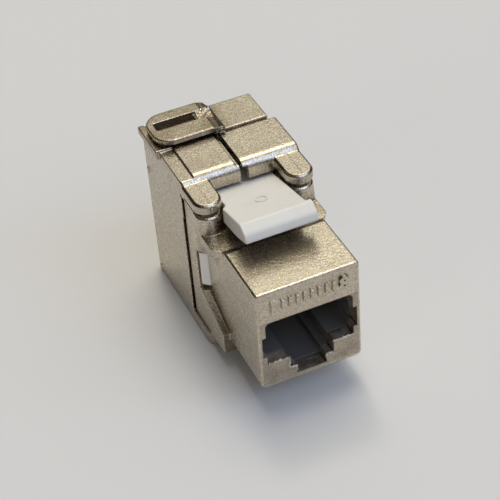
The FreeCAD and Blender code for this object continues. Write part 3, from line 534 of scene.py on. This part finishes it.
def raised_number(digit, x):
    """One raised number on the front face, with soft edges and its back sunk in the face."""
    sizes = settings()[1]
    bpy.ops.object.select_all(action="DESELECT")
    bpy.ops.object.text_add(location=(x, SINK, mark_level()),
                            rotation=(math.radians(90), 0, 0))
    text = bpy.context.object
    text.data.body = digit
    text.data.align_x = "CENTER"
    text.data.align_y = "CENTER"
    text.data.size = sizes.mark_height * FONT_OVER_DIGIT
    text.data.extrude = SINK + sizes.mark_relief - NUMBER_EDGE
    text.data.bevel_depth = NUMBER_EDGE
    text.data.bevel_resolution = 2
    text.data.offset = STROKE_MORE
    bpy.ops.object.convert(target="MESH")
    piece = bpy.context.object
    piece.name = "end_number_" + digit
    settle(piece)
    bpy.ops.object.shade_smooth_by_angle(angle=MARK_CREASE)
    return piece


def raised_tick():
    """A soft upright bar on the front face, over the first contact."""
    sizes = settings()[1]
    x = -(CONTACTS - 1) / 2 * CONTACT_PITCH
    bpy.ops.object.select_all(action="DESELECT")
    bpy.ops.mesh.primitive_cube_add(size=1, location=(x, (SINK - sizes.mark_relief) / 2,
                                                      mark_level()))
    piece = bpy.context.object
    piece.name = "contact_tick_1"
    piece.scale = (sizes.tick_width, SINK + sizes.mark_relief, sizes.mark_height * TICK_SHARE)
    settle(piece)
    applied(piece, "BEVEL", width=TICK_EDGE, segments=3, limit_method="NONE")
    bpy.ops.object.shade_smooth_by_angle(angle=MARK_CREASE)
    return piece


def roughened(piece, pattern_name, cell, depth):
    """Lumps over the whole piece, from a fine cloud pattern."""
    pattern = bpy.data.textures.new(pattern_name, "CLOUDS")
    pattern.noise_scale = cell
    pattern.noise_depth = 3
    applied(piece, "DISPLACE", texture=pattern, texture_coords="LOCAL", strength=depth,
            mid_level=0.5)


def rear_edges(piece):
    """The edges along a patch's rear."""
    vertices = piece.data.vertices
    rear = max(vertex.co.y for vertex in vertices)
    return [edge for edge in piece.data.edges
            if all(abs(vertices[n].co.y - rear) < TOUCHING for n in edge.vertices)]


def torn_patch(name, low, high, rise):
    """A torn metal patch between two corners, climbing in steepening steps along its rear."""
    bpy.ops.object.select_all(action="DESELECT")
    flat = (high.y - low.y) * TEAR_FLAT
    bpy.ops.mesh.primitive_plane_add(size=1, location=((low.x + high.x) / 2,
                                                       low.y + flat / 2, low.z))
    piece = bpy.context.object
    piece.name = name
    piece.scale = (high.x - low.x, flat, 1)
    settle(piece)
    back = (high.y - low.y - flat) / len(TEAR_CLIMBS)
    for climb in TEAR_CLIMBS:
        select_parts(piece, rear_edges(piece))
        bpy.ops.object.mode_set(mode="EDIT")
        bpy.ops.mesh.select_mode(type="EDGE")
        bpy.ops.mesh.extrude_region_move(TRANSFORM_OT_translate={
            "value": (0, back, rise * climb)})
        bpy.ops.object.mode_set(mode="OBJECT")
    bpy.ops.object.mode_set(mode="EDIT")
    bpy.ops.mesh.select_all(action="SELECT")
    bpy.ops.mesh.subdivide(number_cuts=TEAR_CUTS)
    bpy.ops.object.mode_set(mode="OBJECT")
    roughened(piece, name + "_lumps", TEAR_LUMP, TEAR_ROUGH)
    applied(piece, "SOLIDIFY", thickness=TEAR_THICK, offset=-1.0)
    bpy.ops.object.shade_smooth_by_angle(angle=CREASE)
    return piece


def flash_bead(name, start, end, radius):
    """A ragged line of casting flash along an edge."""
    run = end - start
    bpy.ops.object.select_all(action="DESELECT")
    bpy.ops.mesh.primitive_cylinder_add(vertices=FLASH_SIDES, radius=radius, depth=run.length,
                                        location=(start + end) / 2)
    piece = bpy.context.object
    piece.name = name
    piece.rotation_euler = run.to_track_quat("Z", "Y").to_euler()
    settle(piece)
    applied(piece, "REMESH", mode="VOXEL", voxel_size=radius / FLASH_CELLS, adaptivity=0.0)
    roughened(piece, name + "_lumps", FLASH_LUMP, radius * FLASH_ROUGH)
    bpy.ops.object.shade_smooth()
    return piece


def ejector_ring(place, tilt):
    """The low round rim that an ejector pin leaves, tilted with the surface under it."""
    sizes = settings()[1]
    bpy.ops.object.select_all(action="DESELECT")
    bpy.ops.mesh.primitive_cylinder_add(vertices=RING_SIDES, radius=sizes.ring_radius,
                                        depth=RING_HIGH, location=place, rotation=(tilt, 0, 0))
    ring = bpy.context.object
    ring.name = "ejector_ring"
    select_parts(ring, [max(ring.data.polygons, key=lambda face: face.center.z)])
    bpy.ops.object.mode_set(mode="EDIT")
    bpy.ops.mesh.select_mode(type="FACE")
    bpy.ops.mesh.inset(thickness=RING_WALL)
    bpy.ops.mesh.extrude_region_move(TRANSFORM_OT_translate={
        "value": (0, 0, -RING_DEEP), "orient_type": "LOCAL"})
    bpy.ops.object.mode_set(mode="OBJECT")
    settle(ring)
    applied(ring, "BEVEL", width=RING_EDGE, segments=2, limit_method="ANGLE")
    bpy.ops.object.shade_smooth_by_angle(angle=CREASE)
    return ring


# ---------------------------------------------------------------- operators
class KEYSTONE_OT_front_casting(bpy.types.Operator):
    """Front housing: nose, flanges and hinge posts, one casting"""
    bl_idname = "keystone.front_casting"
    bl_label = "Front Casting"

    def execute(self, context):
        sizes = settings()[1]
        piece = dressed_copy("front_housing", "front_casting", "housing",
                             sizes.casting_cell,
                             sizes.casting_soften)
        paint([piece], casting_finish("front casting nickel", shade=1.0, as_cast_shaded_box=PORT_WALLS,
                                      darkened_box=UNDER_LATCH))
        return {"FINISHED"}


class KEYSTONE_OT_contact_marks(bpy.types.Operator):
    """Raised numbers of the end contacts and a tick over each contact"""
    bl_idname = "keystone.contact_marks"
    bl_label = "Contact Marks"

    def execute(self, context):
        made = [raised_number("1", -NUMBER_OUT), raised_number("8", NUMBER_OUT)]
        tick = raised_tick()
        made.append(tick)
        for index in range(1, CONTACTS):
            made.append(copied(tick, "contact_tick_%d" % (index + 1),
                               Vector((index * CONTACT_PITCH, 0, 0))))
        for piece in made:
            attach(piece, "housing")
        paint(made, bpy.data.materials["front casting nickel"])
        return {"FINISHED"}


class KEYSTONE_OT_rear_wings(bpy.types.Operator):
    """The two hinged rear wings, with the hasp loop on the right one"""
    bl_idname = "keystone.rear_wings"
    bl_label = "Rear Wings"

    def execute(self, context):
        sizes = settings()[1]
        nickel = casting_finish("wing nickel", shade=0.9, as_cast_shaded_box=SLOT_FLOOR, darkened_box=LOOP)
        for side in ("left", "right"):
            piece = dressed_copy(side + "_wing", side + "_wing_casting", side + "_wing",
                                 sizes.casting_cell,
                                 sizes.casting_soften)
            paint([piece], nickel)
        return {"FINISHED"}


class KEYSTONE_OT_casting_flash(bpy.types.Operator):
    """Ragged flash on the lower edges of the port and the torn patches of the loop"""
    bl_idname = "keystone.casting_flash"
    bl_label = "Casting Flash"

    def execute(self, context):
        finishes, sizes = settings()
        half, wide, narrow = sizes.port_half, sizes.tab_wide_half, sizes.tab_narrow_half
        shelf = PORT_FLOOR - sizes.tab_wide_drop
        edges = ((-half, PORT_FLOOR, -wide, PORT_FLOOR), (-wide, shelf, -narrow, shelf),
                 (narrow, shelf, wide, shelf), (wide, PORT_FLOOR, half, PORT_FLOOR),
                 (-wide, PORT_FLOOR, -wide, shelf), (narrow, shelf, narrow, shelf - FLASH_DROP),
                 (-narrow, shelf, -narrow, shelf - FLASH_DROP))
        made = []
        for index, (x0, z0, x1, z1) in enumerate(edges):
            made.append(flash_bead("port_flash_%d" % (index + 1), Vector((x0, FLASH_BACK, z0)),
                                   Vector((x1, FLASH_BACK, z1)), sizes.flash_radius))
        for piece in made:
            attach(piece, "housing")
        paint(made, plated_finish("flash nickel", finishes.flash_nickel, roughness=0.42))

        wing_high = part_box("right_wing")[1]
        web = wing_high.z - LOOP_DEEP
        slot_back = wing_high.y - REAR_BAR
        slot_front = slot_back - SLOT_ACROSS
        root = slot_front - FRONT_BAR
        torn = [torn_patch("slot_tear", Vector((SLOT_TEAR_X[0], slot_front, web)),
                           Vector((SLOT_TEAR_X[1], slot_back + SINK / 2, web)), LOOP_DEEP),
                torn_patch("root_tear", Vector((ROOT_TEAR_X[0], root - SINK, web)),
                           Vector((ROOT_TEAR_X[1], root + SINK, web)), LOOP_DEEP / 2)]
        for piece in torn:
            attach(piece, "right_wing")
        paint(torn, bpy.data.materials["wing nickel"])
        return {"FINISHED"}


class KEYSTONE_OT_latch(bpy.types.Operator):
    """The white snap-in latch, with the faint ring of an ejector pin on its top"""
    bl_idname = "keystone.latch"
    bl_label = "Latch"

    def execute(self, context):
        finishes, sizes = settings()
        piece = dressed_copy("latch_lever", "latch_moulding", "latch",
                             sizes.latch_cell, sizes.latch_soften)
        low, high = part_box("latch_lever")
        ring_y = high.y - RING_BACK
        ring_z = high.z - (ring_y - low.y - LATCH_CREST_IN) * LATCH_SLOPE
        ring = ejector_ring(Vector((0, ring_y, ring_z)), -math.atan(LATCH_SLOPE))
        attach(ring, "latch")
        paint([piece, ring], plastic_finish("latch white", finishes.latch_white, roughness=0.46,
                                            grain_depth=0.02 * MM, dust=0.16))
        return {"FINISHED"}


class KEYSTONE_OT_port_lining(bpy.types.Operator):
    """Black lining of the port, its contacts and the shield springs"""
    bl_idname = "keystone.port_lining"
    bl_label = "Port Lining"

    def execute(self, context):
        finishes, sizes = settings()
        piece = dressed_copy("port_insert", "port_lining", "housing",
                             sizes.lining_cell, sizes.lining_soften)
        paint([piece], plastic_finish("lining black", finishes.lining_black, roughness=0.82,
                                      grain_depth=0.01 * MM, dust=0.2))
        paint(frame_nodes("port_contact"),
              plated_finish("contact gold", finishes.gold, roughness=0.2))
        paint(frame_nodes("shield_spring"),
              plated_finish("spring plate", finishes.spring, roughness=0.3))
        return {"FINISHED"}


class KEYSTONE_OT_wiring(bpy.types.Operator):
    """Circuit board, contact block, wire contacts and wire manager"""
    bl_idname = "keystone.wiring"
    bl_label = "Wiring"

    def execute(self, context):
        finishes = settings()[0]
        paint(frame_nodes("idc_block") + frame_nodes("wire_manager"),
              plastic_finish("block white", finishes.block_white, roughness=0.45,
                             grain_depth=0.008 * MM, dust=0.12))
        paint(frame_nodes("idc_contact"),
              plated_finish("contact tin", finishes.tin, roughness=0.28))
        paint(frame_nodes("circuit_board"),
              plastic_finish("board mask", finishes.board_green, roughness=0.3,
                             grain_depth=0.004 * MM, dust=0.1))
        return {"FINISHED"}


class KEYSTONE_OT_studio(bpy.types.Operator):
    """Floor, lights, world and camera"""
    bl_idname = "keystone.studio"
    bl_label = "Studio"

    def execute(self, context):
        make_floor()
        make_world()
        make_lights()
        make_camera()
        return {"FINISHED"}


# ---------------------------------------------------------------- studio
def make_floor():
    finishes = settings()[0]
    bpy.ops.object.select_all(action="DESELECT")
    bpy.ops.mesh.primitive_circle_add(vertices=96, radius=FLOOR_RADIUS, fill_type="NGON",
                                      location=(0, 0, CAD_LOW.z))
    floor = bpy.context.object
    floor.name = "studio_floor"
    settle(floor)
    material, nodes, shader = new_finish("studio floor")[:3]
    nodes.fill(shader, {"Base Color": finishes.floor, "Roughness": 0.75,
                        "Specular IOR Level": 0.25})
    paint([floor], material)


def make_world():
    """A room that is pale behind, dark to the left and dark low down, with a glow behind, a
    warm lamp almost overhead and a cool window in front."""
    world = bpy.data.worlds.new("studio world")
    bpy.context.scene.world = world
    world.use_nodes = True
    nodes = Nodes(world.node_tree)
    out = nodes.add("ShaderNodeTexCoord").outputs["Generated"]
    axes = nodes.add("ShaderNodeSeparateXYZ", {"Vector": out}).outputs
    room = nodes.blend(nodes.spread(axes["Y"], -0.30, 0.10), (0.30, 0.29, 0.27),
                       (0.77, 0.735, 0.66))
    room = nodes.blend(nodes.spread(axes["X"], -0.22, 0.06), (0.15, 0.14, 0.125), room)
    sky = nodes.blend(nodes.spread(axes["Z"], 0.28, 0.54), (0.10, 0.09, 0.08), room)
    sky = nodes.blend(nodes.spread(axes["Z"], 0.86, 0.96), sky, (0.40, 0.37, 0.33))
    for heading, low, high, colour in (
            ((0.32, 0.68, 0.66), 0.987, 1.0, (1.78, 1.83, 1.66)),
            ((0.22, 0.30, 0.93), 0.962, 0.984, (6.4, 5.9, 4.6)),
            ((0.29, -0.62, 0.73), 0.885, 0.94, (1.65, 1.95, 2.6))):
        near = nodes.aligned(out, heading)
        sky = nodes.blend(nodes.spread(near, low, high), sky, colour)
    nodes.fill(world.node_tree.nodes["Background"], {"Color": sky, "Strength": 1.0})


def aim(obj, target):
    """Turns a lamp so that it shines at the target."""
    obj.rotation_euler = (target - obj.location).to_track_quat("-Z", "Y").to_euler()


def make_lights():
    """Lamps behind, over and beside the object, for the soft shadows and the plastics: the
    metal mirrors the world's own glow, lamp and window instead."""
    for name, place, size, power, colour in (
            ("warm", (0.10, 0.44, 0.78), 0.16, 1.6, (1.0, 0.94, 0.84)),
            ("top", (0.0, 0.08, 1.0), 0.22, 2.5, (1.0, 0.98, 0.95)),
            ("front", (-0.30, -0.80, 0.55), 0.60, 1.0, (1.0, 0.98, 0.95)),
            ("side", (-0.80, -0.42, 0.34), 0.35, 0.95, (1.0, 0.95, 0.88)),
            ("cool", (0.66, -0.42, 0.42), 0.30, 0.9, (0.35, 0.62, 1.0))):
        bpy.ops.object.light_add(type="AREA", location=place)
        lamp = bpy.context.object
        lamp.name = "studio_lamp_" + name
        lamp.data.shape = "DISK"
        lamp.data.size = size
        lamp.data.energy = power
        lamp.data.color = colour
        lamp.visible_glossy = False
        aim(lamp, LAMP_TARGET)


def make_camera():
    """The camera, rolled a little, and the plain view transform."""
    ahead = CAMERA_AHEAD.normalized()
    level = ahead.cross(Vector((0, 0, 1))).normalized()
    over = level.cross(ahead)
    right = level * math.cos(CAMERA_ROLL) + over * math.sin(CAMERA_ROLL)
    top = right.cross(ahead)
    bpy.ops.object.camera_add(location=CAMERA_PLACE)
    camera = bpy.context.object
    camera.rotation_euler = Matrix((right, top, -ahead)).transposed().to_euler()
    camera.data.lens = CAMERA_LENS
    camera.data.sensor_width = 36.0
    camera.data.clip_start = CAMERA_NEAR
    camera.data.clip_end = CAMERA_FAR
    bpy.context.scene.camera = camera
    bpy.context.scene.view_settings.view_transform = "Standard"


# ---------------------------------------------------------------- add-on
class KEYSTONE_PT_panel(bpy.types.Panel):
    """Buttons for each group of pieces, then the sizes and the finishes"""
    bl_label = "Keystone Jack"
    bl_idname = "KEYSTONE_PT_panel"
    bl_space_type = "VIEW_3D"
    bl_region_type = "UI"
    bl_category = "Keystone Jack"

    def draw(self, context):
        for operator in OPERATORS:
            self.layout.operator(operator.bl_idname)
        for group in (context.scene.keystone_sizes, context.scene.keystone_finishes):
            for name in group.__annotations__:
                self.layout.prop(group, name)


# The marks and the torn patches wear the finishes of the castings that come before them.
OPERATORS = (KEYSTONE_OT_front_casting, KEYSTONE_OT_contact_marks, KEYSTONE_OT_rear_wings,
             KEYSTONE_OT_casting_flash, KEYSTONE_OT_latch, KEYSTONE_OT_port_lining,
             KEYSTONE_OT_wiring, KEYSTONE_OT_studio)
CLASSES = (KeystoneFinishes, KeystoneSizes) + OPERATORS + (KEYSTONE_PT_panel,)


def register():
    for cls in CLASSES:
        bpy.utils.register_class(cls)
    bpy.types.Scene.keystone_finishes = PointerProperty(type=KeystoneFinishes)
    bpy.types.Scene.keystone_sizes = PointerProperty(type=KeystoneSizes)


def unregister():
    del bpy.types.Scene.keystone_sizes
    del bpy.types.Scene.keystone_finishes
    for cls in reversed(CLASSES):
        bpy.utils.unregister_class(cls)


def main():
    register()
    for operator in OPERATORS:
        group, name = operator.bl_idname.split(".")
        getattr(getattr(bpy.ops, group), name)()


if __name__ == "__main__":
    main()
